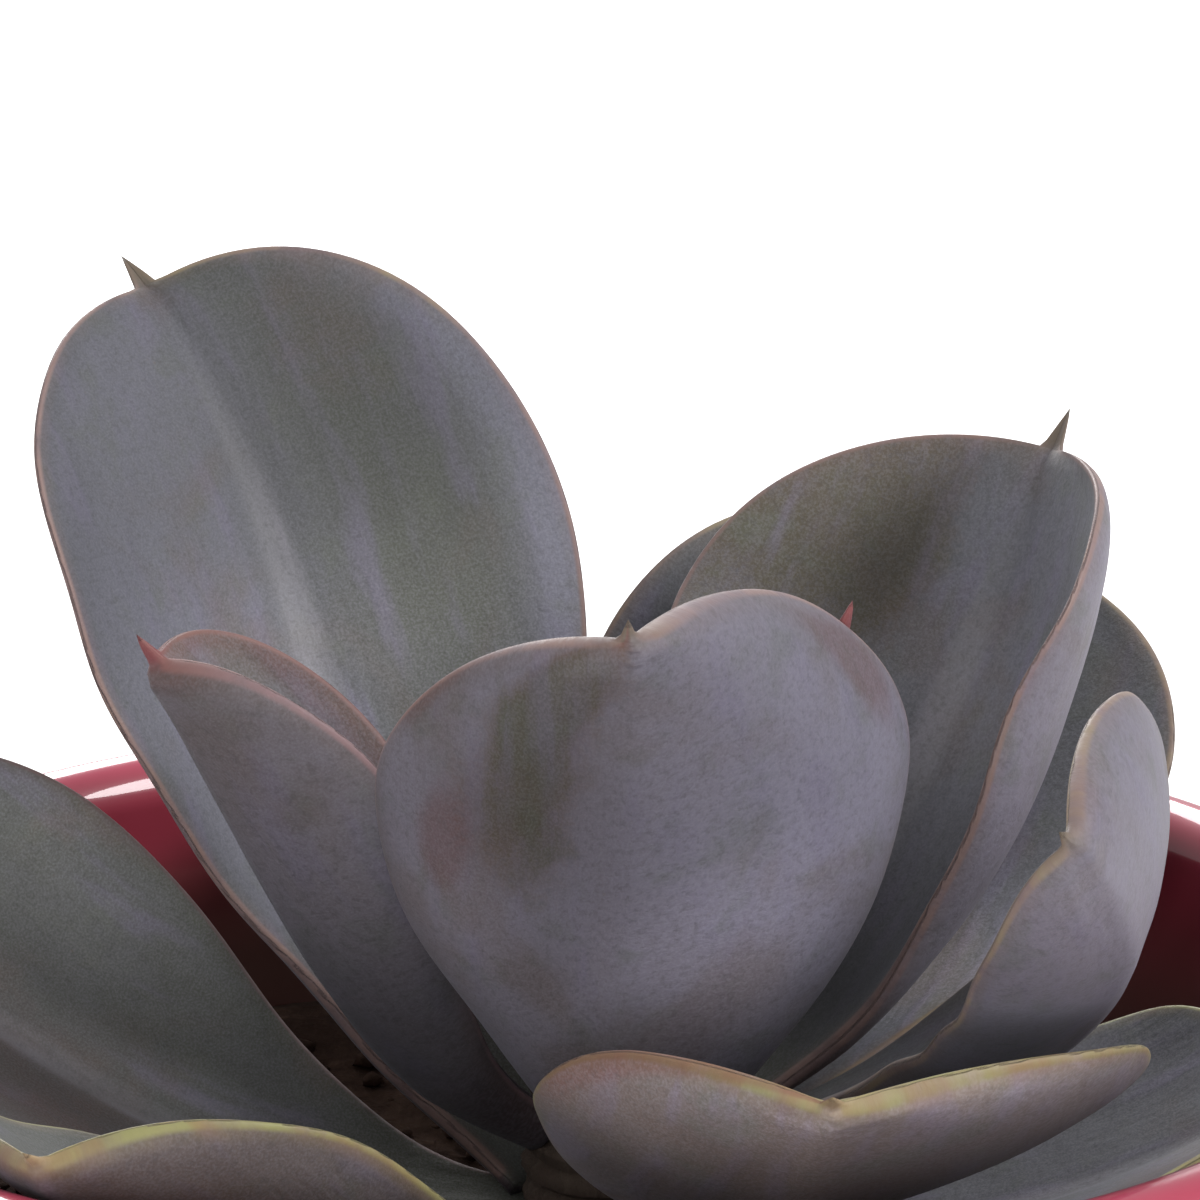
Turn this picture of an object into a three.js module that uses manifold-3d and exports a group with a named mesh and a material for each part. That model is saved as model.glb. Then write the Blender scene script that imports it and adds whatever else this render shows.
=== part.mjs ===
// A rosette succulent in a round glazed pot.
// Millimetres, +Z up. The origin is on the pot's axis, on the surface it stands on,
// and the front of the plant faces -Y.

import * as THREE from 'three';
import Module from 'manifold-3d';
import { mergeVertices } from 'three/addons/utils/BufferGeometryUtils.js';

const wasm = await Module();
wasm.setup();

// ---------------------------------------------------------------- pot
const RIM_RADIUS = 75; // outside of the rolled lip
const LIP_ROLL = 4; // radius of the roll itself
const LIP_FROM = -60; // the roll's section, in degrees from straight out
const LIP_TO = 180;
const LIP_STEPS = 8;
const POT_HEIGHT = 118;
const LIP_HEIGHT = POT_HEIGHT - LIP_ROLL; // centre of the roll
const LIP_RADIUS = RIM_RADIUS - LIP_ROLL;
const LIP_OVERHANG = 0.5; // the wall under the roll, past its centre
const WALL = 4.5;
const WALL_BULGE = 3; // how far the wall swells between foot and lip
const WALL_STEPS = 6;
const SHOULDER_DROP = 7; // the roll ends this far below its centre
const FOOT_RADIUS = 46;
const FOOT_WIDTH = 6; // flat ring that the pot stands on
const FOOT_RECESS = 3;
const FOOT_EDGE = 1.5; // rounding where the wall leaves the foot
const FOOT_CHAMFER = 1; // inside of the foot ring
const FLOOR_TOP = 9;
const FLOOR_CORNER = 3; // rounding between floor and wall
const POT_SIDES = 48;

// ---------------------------------------------------------------- soil and stem
const SOIL_DROP_AT_WALL = 24; // below the top of the rim
const SOIL_DROP_AT_STEM = 30;
const SOIL_CREST_INSET = 8; // the soil is highest this far from the wall
const SOIL_CREST_RISE = 0.8;
const SOIL_SLOPE_RADIUS = 38;
const SOIL_SLOPE_DROP = 3.5; // below the soil at the wall
const SOIL_FLAT_RADIUS = 18;
const SOIL_STEPS = 5;
const CLEARANCE = 0.3; // between pieces that touch
const STEM_RADIUS = 7.6;
const STEM_X = 4; // the plant stands a little off the middle of its pot
const STEM_Y = 1.3;
const STEM_TOP_DROP = 10.5; // below the top of the rim
const STEM_DEPTH = 45; // below the soil at the stem
const STEM_SIDES = 20;
const STEM_CROWN = [1.5, 2]; // chamfer round the top: in, down
const STEM_FOOT = [2, 3]; // chamfer round the bottom: in, up
const HOLE_OVERSHOOT = 10; // the hole is cut this far past the soil's surface

// ---------------------------------------------------------------- leaves
const LEAF_AROUND = 16; // points around a leaf's section
const LEAF_ROWS = [0, 0.03, 0.14, 0.28, 0.42, 0.55, 0.67, 0.77, 0.85, 0.91, 0.955, 0.985];
const RIB_PIECES = 12; // short steps between two rows, to sum the midrib
const POINT_HALF_WIDTH = 2.4; // the small spine past the blade's end
const POINT_RUN_IN = 0.05; // share of the length in which the spine comes out of the blade
const BASE_SHARE = 0.19; // width at the base, as a share of the blade's
const WIDEST_AT = 0.64; // share of the length
const SHOULDER_POWER = 2.3; // how blunt the blade's end is
const SHOULDER_ROOT = 1.9;
const BELLY_POWER = 1.35; // how late the blade widens
const LENS_POWER = 0.8; // section between a lens (1) and a box (0)
const UPPER_SHARE = 0.42; // of the thickness, above the mid-surface
const GROOVE_SHARE = 0.12; // midrib groove above, keel below
const GROOVE_WIDTH = 0.1;
const THICK_AT_BASE = 1.15; // times the leaf's thickness
const THINNING = 0.5; // how much of it is lost by the tip
const TAPER_SHARE = 0.2; // the leaf thins where it is narrower than this share of its width
const TAPER_POWER = 0.6;
const VEE_REACH = 0.12; // share of a wing in which the fold turns the skin
const TUCK_START = 0.1; // how far the tuck has come at the base

// Angles are in degrees, lengths in millimetres.
// heading: seen from above, counter-clockwise from +X, at the base; twist is added by the tip.
// climb: above the horizontal at the base, middle and tip. point: length of the spine.
// drop: base below the top of the rim. out: base from the stem's axis.
// vee, cup: fold at the midrib and curl of each wing, base and tip.
// roll: turn about the leaf's own length, base and tip. tuck: extra curl of the right wing.
// skew: how much wider the left wing is than half the width, as a share; the right is narrower.
const LEAVES = {
  leaf_upper_back_left: {
    heading: 141.4, twist: -7, climb: [35.9, 66.4, 39.1], length: 84.4, width: 52.1, drop: 20.2,
    cup: [42.1, 25.6], vee: [8.1, 9.9], roll: [-21.8, -18.8], skew: 0.01, point: 4,
  },
  leaf_upper_back_right: {
    heading: 40, twist: 3, climb: [26, 51.5, 60.6], length: 66.7, width: 57.1, drop: 14,
    cup: [43.5, 34.1], vee: [-8.9, 8.4], roll: [36.3, -3.5], tuck: 62, skew: -0.06, point: 4,
  },
  leaf_upper_front: {
    heading: 272.3, twist: -1.2, climb: [42, 68.2, 80.6], length: 58.1, width: 56.6, drop: 14.4,
    cup: [58.9, 51.8], vee: [-10.7, 14.3], roll: [-4.4, 20.6], skew: 0.21, point: 1.8,
  },
  leaf_upper_left: {
    heading: 199.2, twist: 6.2, climb: [29.5, 59.9, 56.7], length: 55.4, width: 30.6, drop: 13.6,
    cup: [101.9, 40.4], vee: [51.6, 16.8], roll: [-49.1, -7.2], skew: 0.06,
  },
  leaf_lower_back: {
    heading: 58, twist: -4, climb: [13, 44, 42], length: 70, width: 57, drop: 21.5,
    cup: [33, 25], vee: [9, 8], roll: [8, 22],
  },
  leaf_lower_left: {
    heading: 181.7, twist: -9, climb: [-2, 31, 33.5], length: 75.5, width: 49.5, drop: 23.3,
    cup: [48.5, 27.5], vee: [-4, 5.5], roll: [-9.5, -25.5],
  },
  leaf_lower_front: {
    heading: 297, twist: -23, climb: [-0.5, 28.5, 41.5], length: 53.7, width: 54, drop: 17.3,
    cup: [26, 29], vee: [3.5, 7], roll: [-6.5, -5], skew: 0.16, point: 2,
  },
  leaf_lower_front_left: {
    heading: 229.3, twist: 4.5, climb: [-6, 24.5, 40], length: 71, width: 43, drop: 23.5,
    cup: [31, 42.5], vee: [8, 6], roll: [-10, 13], skew: 0.02, point: 2,
  },
  leaf_lower_right: {
    heading: 341, twist: 2, climb: [-2, 20, 38], length: 54, width: 46, drop: 24,
    cup: [34, 24], vee: [10, 7], roll: [0, 12], skew: -0.12, point: 2,
  },
  leaf_curled_right: {
    heading: 353, twist: -115, climb: [20.2, 34.4, 41.6], length: 82, width: 36, drop: 17.7,
    cup: [19.3, 46.5], vee: [14, 9.5], roll: [-23, 79.9], skew: 0.25, point: 2,
  },
  leaf_bottom_back: {
    heading: 108, climb: [4, 20, 32], length: 60, width: 42, drop: 22,
    cup: [40, 28], vee: [14, 10],
  },
  leaf_heart_right: {
    heading: 346, climb: [64, 70, 72], length: 42, width: 26, drop: 10, out: 4.5,
    cup: [60, 40], point: 4,
  },
  leaf_heart_back: {
    heading: 110, climb: [60, 68, 72], length: 27, width: 20, drop: 10, out: 4.5,
    cup: [60, 40],
  },
  leaf_heart_left: {
    heading: 222, climb: [62, 72, 76], length: 25, width: 18, drop: 10, out: 4.5,
    cup: [60, 45], point: 4,
  },
  leaf_heart_front: {
    heading: 269, climb: [80, 78, 80], length: 31, width: 22, drop: 9.9, out: 1.7,
    cup: [62, 41], thickness: 2.4,
  },
};
const LEAF_DEFAULTS = {
  twist: 0, thickness: 3.6, out: STEM_RADIUS + 0.8, vee: [20, 12], roll: [0, 0], tuck: 0, skew: 0,
  point: 3,
};

// ---------------------------------------------------------------- materials
function material(color, roughness) {
  return new THREE.MeshStandardMaterial({ color, roughness, metalness: 0 });
}
const GLAZE = material(0x8c2433, 0.12);
const EARTH = material(0x2d1c18, 0.95);
const BARK = material(0x6d6458, 0.85);
const LEAF_SKIN = material(0x76727f, 0.6);

// ---------------------------------------------------------------- helpers
const radians = THREE.MathUtils.degToRad;
const lerp = THREE.MathUtils.lerp;
const clamp = THREE.MathUtils.clamp;

// The parabola through three values at 0, 1/2 and 1.
function throughThree([start, middle, end], t) {
  return start * (1 - t) * (1 - 2 * t) + 4 * middle * t * (1 - t) + end * t * (2 * t - 1);
}

function named(name, geometry, look) {
  const mesh = new THREE.Mesh(geometry, look);
  mesh.name = name;
  return mesh;
}

// LatheGeometry turns about Y, so the ring is laid over onto +Z.
function turned(outline, sides) {
  const points = outline.map(([radius, height]) => new THREE.Vector2(radius, height));
  const geometry = new THREE.LatheGeometry(points, sides);
  geometry.rotateX(Math.PI / 2);
  return geometry;
}

function lipSection() {
  const points = [];
  for (let i = 0; i <= LIP_STEPS; i++) {
    const angle = radians(lerp(LIP_FROM, LIP_TO, i / LIP_STEPS));
    points.push([
      LIP_RADIUS + LIP_ROLL * Math.cos(angle), LIP_HEIGHT + LIP_ROLL * Math.sin(angle),
    ]);
  }
  return points;
}

// ---------------------------------------------------------------- solids
function solid(geometry) {
  const bare = geometry.clone();
  bare.deleteAttribute('normal');
  bare.deleteAttribute('uv');
  const merged = mergeVertices(bare, 1e-4);
  return new wasm.Manifold(new wasm.Mesh({
    numProp: 3,
    vertProperties: new Float32Array(merged.attributes.position.array),
    triVerts: new Uint32Array(merged.index.array),
  }));
}

function geometryOf(body) {
  const mesh = body.getMesh();
  const geometry = new THREE.BufferGeometry();
  const place = new THREE.BufferAttribute(new Float32Array(mesh.vertProperties), 3);
  geometry.setAttribute('position', place);
  geometry.setIndex(new THREE.BufferAttribute(new Uint32Array(mesh.triVerts), 1));
  geometry.computeVertexNormals();
  return geometry;
}

// ---------------------------------------------------------------- pot, soil, stem
const SHOULDER_HEIGHT = LIP_HEIGHT - SHOULDER_DROP;
const OUTER_SLOPE = (LIP_RADIUS + LIP_OVERHANG - FOOT_RADIUS) / SHOULDER_HEIGHT;

function outerRadius(height) {
  const swell = WALL_BULGE * Math.sin((Math.PI * height) / SHOULDER_HEIGHT);
  return FOOT_RADIUS + OUTER_SLOPE * height + swell;
}

function innerRadius(height) {
  return outerRadius(height) - WALL;
}

function pot() {
  const footInside = FOOT_RADIUS - FOOT_WIDTH;
  const outline = [[0, FOOT_RECESS], [footInside - FOOT_CHAMFER, FOOT_RECESS]];
  outline.push([footInside, 0], [FOOT_RADIUS - FOOT_EDGE, 0]);
  for (let i = 0; i <= WALL_STEPS; i++) {
    const height = lerp(FOOT_EDGE, SHOULDER_HEIGHT, i / WALL_STEPS);
    outline.push([outerRadius(height), height]);
  }
  outline.push(...lipSection());
  for (let i = WALL_STEPS; i >= 0; i--) {
    const height = lerp(FLOOR_TOP + FLOOR_CORNER, SHOULDER_HEIGHT, i / WALL_STEPS);
    outline.push([innerRadius(height), height]);
  }
  outline.push([innerRadius(FLOOR_TOP) - FLOOR_CORNER, FLOOR_TOP], [0, FLOOR_TOP]);
  return named('pot', turned(outline, POT_SIDES), GLAZE);
}

function soil() {
  const wallTop = POT_HEIGHT - SOIL_DROP_AT_WALL;
  const stemTop = POT_HEIGHT - SOIL_DROP_AT_STEM;
  const bottom = FLOOR_TOP + CLEARANCE;
  const outline = [[0, bottom], [innerRadius(FLOOR_TOP) - FLOOR_CORNER - CLEARANCE, bottom]];
  for (let i = 0; i <= SOIL_STEPS; i++) {
    const height = lerp(FLOOR_TOP + FLOOR_CORNER, wallTop, i / SOIL_STEPS);
    outline.push([innerRadius(height) - 2 * CLEARANCE, height]);
  }
  outline.push(
    [innerRadius(wallTop) - SOIL_CREST_INSET, wallTop + SOIL_CREST_RISE],
    [SOIL_SLOPE_RADIUS, wallTop - SOIL_SLOPE_DROP],
    [SOIL_FLAT_RADIUS, stemTop],
    [0, stemTop],
  );
  const holeRadius = STEM_RADIUS + CLEARANCE;
  const holeLength = STEM_DEPTH + HOLE_OVERSHOOT;
  const hole = new THREE.CylinderGeometry(holeRadius, holeRadius, holeLength, STEM_SIDES);
  hole.rotateX(Math.PI / 2);
  hole.translate(STEM_X, STEM_Y, stemTop - STEM_DEPTH + holeLength / 2);
  const body = solid(turned(outline, POT_SIDES)).subtract(solid(hole));
  return named('soil', geometryOf(body), EARTH);
}

function stem() {
  const bottom = POT_HEIGHT - SOIL_DROP_AT_STEM - STEM_DEPTH + CLEARANCE;
  const top = POT_HEIGHT - STEM_TOP_DROP;
  const geometry = turned([
    [0, bottom], [STEM_RADIUS - STEM_FOOT[0], bottom], [STEM_RADIUS, bottom + STEM_FOOT[1]],
    [STEM_RADIUS, top - STEM_CROWN[1]], [STEM_RADIUS - STEM_CROWN[0], top], [0, top],
  ], STEM_SIDES);
  geometry.translate(STEM_X, STEM_Y, 0);
  return named('stem', geometry, BARK);
}

// ---------------------------------------------------------------- leaf
// Half the blade's width at t, where 1 is the blade's end and the spine runs on past it.
function halfWidth(leaf, t) {
  const spine = leaf.point / leaf.length;
  let blade = 0;
  if (t < WIDEST_AT) {
    const share = Math.sin((Math.PI / 2) * (t / WIDEST_AT) ** BELLY_POWER);
    blade = BASE_SHARE + (1 - BASE_SHARE) * share;
  } else if (t < 1) {
    const past = (t - WIDEST_AT) / (1 - WIDEST_AT);
    blade = (1 - past ** SHOULDER_POWER) ** (1 / SHOULDER_ROOT);
  }
  const half = (leaf.width / 2) * blade;
  const point = POINT_HALF_WIDTH * clamp((1 + spine - t) / (spine + POINT_RUN_IN), 0, 1);
  return Math.cbrt(half ** 3 + point ** 3);
}

// Direction of the midrib at t.
function along(leaf, t) {
  const heading = radians(leaf.heading + leaf.twist * t);
  const climb = radians(throughThree(leaf.climb, t));
  const flat = Math.cos(climb);
  return {
    heading,
    climb,
    forward: new THREE.Vector3(Math.cos(heading) * flat, Math.sin(heading) * flat, Math.sin(climb)),
  };
}

// The midrib's points, one for each value in stations, summed in short steps.
function midrib(leaf, stations) {
  const heading = radians(leaf.heading);
  const point = new THREE.Vector3(
    STEM_X + leaf.out * Math.cos(heading),
    STEM_Y + leaf.out * Math.sin(heading),
    POT_HEIGHT - leaf.drop,
  );
  const points = [point.clone()];
  for (let i = 1; i < stations.length; i++) {
    const step = (stations[i] - stations[i - 1]) / RIB_PIECES;
    for (let k = 0; k < RIB_PIECES; k++) {
      const { forward } = along(leaf, stations[i - 1] + (k + 0.5) * step);
      point.addScaledVector(forward, step * leaf.length);
    }
    points.push(point.clone());
  }
  return points;
}

// A sphere's grid, with its poles at the base and the tip, bent into the leaf.
function leafGeometry(settings) {
  const leaf = { ...LEAF_DEFAULTS, ...settings };
  const stations = [...LEAF_ROWS, 1, 1 + leaf.point / leaf.length];
  const centres = midrib(leaf, stations);
  const geometry = new THREE.SphereGeometry(1, LEAF_AROUND, stations.length - 1);
  const place = geometry.attributes.position;
  for (let i = 0; i < place.count; i++) {
    const row = Math.floor(i / (LEAF_AROUND + 1));
    const angle = (-2 * Math.PI * (i % (LEAF_AROUND + 1))) / LEAF_AROUND;
    const isPole = row === 0 || row === stations.length - 1;
    const centre = centres[row];
    const point = isPole ? centre : sectionPoint(leaf, stations[row], centre, angle);
    place.setXYZ(i, point.x, point.y, point.z);
  }
  geometry.computeVertexNormals();
  return geometry;
}

function sectionPoint(leaf, station, centre, angle) {
  const t = Math.min(station, 1);
  const { heading, climb, forward } = along(leaf, station);
  const up = new THREE.Vector3(
    -Math.cos(heading) * Math.sin(climb), -Math.sin(heading) * Math.sin(climb), Math.cos(climb),
  );
  const left = up.clone().cross(forward);
  const roll = radians(lerp(leaf.roll[0], leaf.roll[1], t));
  const face = up.clone().multiplyScalar(Math.cos(roll)).addScaledVector(left, -Math.sin(roll));
  const side = left.clone().multiplyScalar(Math.cos(roll)).addScaledVector(up, Math.sin(roll));

  const across = Math.cos(angle);
  const reach = Math.abs(across);
  const hand = Math.sign(across) || 1;
  const half = halfWidth(leaf, station) * (1 + hand * leaf.skew);
  const vee = radians(lerp(leaf.vee[0], leaf.vee[1], t));
  let cup = radians(lerp(leaf.cup[0], leaf.cup[1], t));
  if (across < 0) {
    cup += radians(leaf.tuck) * Math.sin(Math.PI * lerp(TUCK_START, 1, t));
  }
  const spread = (Math.sin(vee + cup * reach) - Math.sin(vee)) / cup;
  const lift = (Math.cos(vee) - Math.cos(vee + cup * reach)) / cup;

  const taper = Math.min(1, half / (TAPER_SHARE * leaf.width)) ** TAPER_POWER;
  const thick = leaf.thickness * (THICK_AT_BASE - THINNING * t) * taper;
  const tilt = vee * Math.min(1, reach / VEE_REACH) + cup * reach;
  const normal = face.clone().multiplyScalar(Math.cos(tilt));
  normal.addScaledVector(side, -hand * Math.sin(tilt));
  const groove = GROOVE_SHARE * Math.exp(-((reach / GROOVE_WIDTH) ** 2));
  const lens = Math.abs(Math.sin(angle)) ** LENS_POWER;
  const height = Math.sin(angle) > 0 ? UPPER_SHARE - groove : -(1 - UPPER_SHARE) - groove;

  return centre.clone()
    .addScaledVector(side, hand * half * spread)
    .addScaledVector(face, half * lift)
    .addScaledVector(normal, thick * lens * height);
}

function leaves() {
  return Object.entries(LEAVES).map(([name, leaf]) => named(name, leafGeometry(leaf), LEAF_SKIN));
}

// ---------------------------------------------------------------- the whole
const group = new THREE.Group();
group.add(pot(), soil(), stem(), ...leaves());

export default group;
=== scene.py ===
"""Looks of a rosette succulent in a round glazed pot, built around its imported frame."""

import math
import random

import bpy
import numpy as np
from bpy.props import FloatProperty, FloatVectorProperty, IntProperty, PointerProperty
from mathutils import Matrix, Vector, noise


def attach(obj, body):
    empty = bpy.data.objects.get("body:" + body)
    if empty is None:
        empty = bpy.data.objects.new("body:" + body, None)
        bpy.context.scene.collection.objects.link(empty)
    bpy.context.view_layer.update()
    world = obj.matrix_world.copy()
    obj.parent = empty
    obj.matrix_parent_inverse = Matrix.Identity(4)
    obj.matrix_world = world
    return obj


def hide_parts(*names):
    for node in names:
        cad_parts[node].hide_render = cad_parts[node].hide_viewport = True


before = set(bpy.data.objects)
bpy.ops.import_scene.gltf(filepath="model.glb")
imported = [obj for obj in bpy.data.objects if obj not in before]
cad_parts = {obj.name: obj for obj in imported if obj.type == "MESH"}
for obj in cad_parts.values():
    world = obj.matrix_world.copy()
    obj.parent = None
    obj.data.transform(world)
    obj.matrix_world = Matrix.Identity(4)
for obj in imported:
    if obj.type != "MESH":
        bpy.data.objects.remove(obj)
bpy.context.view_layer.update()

bl_info = {
    "name": "Potted Rosette Succulent",
    "version": (1, 0, 0),
    "blender": (4, 5, 0),
    "location": "View3D > Sidebar > Succulent",
    "description": "Dresses a potted rosette succulent with waxy leaves, soil and a glazed pot",
    "category": "Object",
}

MM = 0.001

# ---------------------------------------------------------------- pot, in millimetres
POT_HEIGHT = 118.0
LIP_ROLL = 4.0
LIP_RADIUS = 71.0
LIP_HEIGHT = POT_HEIGHT - LIP_ROLL
LIP_START, LIP_END = -60, 180  # degrees round the roll, from the outside
SHOULDER_HEIGHT = 107.0
SHOULDER_RADIUS = LIP_RADIUS + 0.5
WALL = 4.5
BULGE = 3.0
FOOT_RADIUS = 46.0
FOOT_WIDTH = 6.0
FOOT_RECESS = 3.0
FOOT_TOP = 1.5
# Points of the ring's two edges: (out from the edge, height).
FOOT_INNER_EDGE = ((-1.4, FOOT_RECESS), (-0.7, 2.4), (-0.3, 0.4), (0.2, 0.0))
FOOT_OUTER_EDGE = ((-1.9, 0.0), (-0.9, 0.25), (-0.1, 0.9))
FLOOR_TOP = 9.0
FLOOR_CORNER = 3.0
POT_SIDES, WALL_STEPS, LIP_STEPS = 192, 44, 32

# ---------------------------------------------------------------- soil and stem, in millimetres
SOIL_AT_WALL = 94.0
SOIL_AT_STEM = 88.0
# The soil's top from the middle to the wall: (radius, height).
SOIL_SLOPE = (
    (0, SOIL_AT_STEM), (18, SOIL_AT_STEM), (38, 90.5), (58, 94.8), (66.2, SOIL_AT_WALL),
)
SOIL_GAP = 0.4
SOIL_SIDES, SOIL_STEPS, SOIL_WALL_STEPS = 150, 46, 8
# Noise on the soil and the bark: (how fine, how high).
SOIL_LUMPS = ((95, 1.1), (260, 0.75), (620, 0.4))
SOIL_LUMPS_END, SOIL_LUMPS_FADE, SOIL_SETTLED = 66.0, 4.0, 0.3
BARK_SWELLS = ((260, 0.45), (900, 0.15))

CRUMB_SEED = 11
CRUMB_REACH = 65.0
CRUMB_CLEARANCE = 1.5
CRUMB_SHIFT = 14.0
CRUMB_LIFT = 0.25  # share of its half width by which a crumb's middle stands above the soil

STEM_X, STEM_Y = 4.0, 1.3
STEM_RADIUS = 7.6
STEM_FOOT, STEM_TOP = 84.0, 107.5
STEM_CROWN = 2.0
STEM_SIDES, STEM_STEPS = 72, 60

# ---------------------------------------------------------------- leaves
LEAF_AROUND = 112
LEAF_ROWS = 104
POINT_HALF_WIDTH = 2.4
BASE_SHARE = 0.19
WIDEST_AT = 0.64
SHOULDER_POWER = 2.3
SHOULDER_ROOT = 1.9
BELLY_POWER = 1.35
LENS_POWER = 0.8
UPPER_SHARE = 0.42
GROOVE_SHARE = 0.12
GROOVE_WIDTH = 0.1
INTO_STEM = 2.6
LEAF_SWELLS = ((1.0, 0.34), (3.1, 0.10))
WAVY_MARGIN = 0.30
# How far the patterns of two leaves, and of a leaf's two faces, lie apart.
NEXT_LEAF, NEXT_FACE = 17.0, 40.0

# Each of these layers of the skin has one even value on a leaf, to which its marks add.
# green, red: that colour in the margin. bloom: more wax. rub: more wear. tone: brightness, partly
# the leaf's own and partly painted light and painted shade.
SKIN_LAYERS = ("green", "red", "bloom", "rub", "tone")
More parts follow.
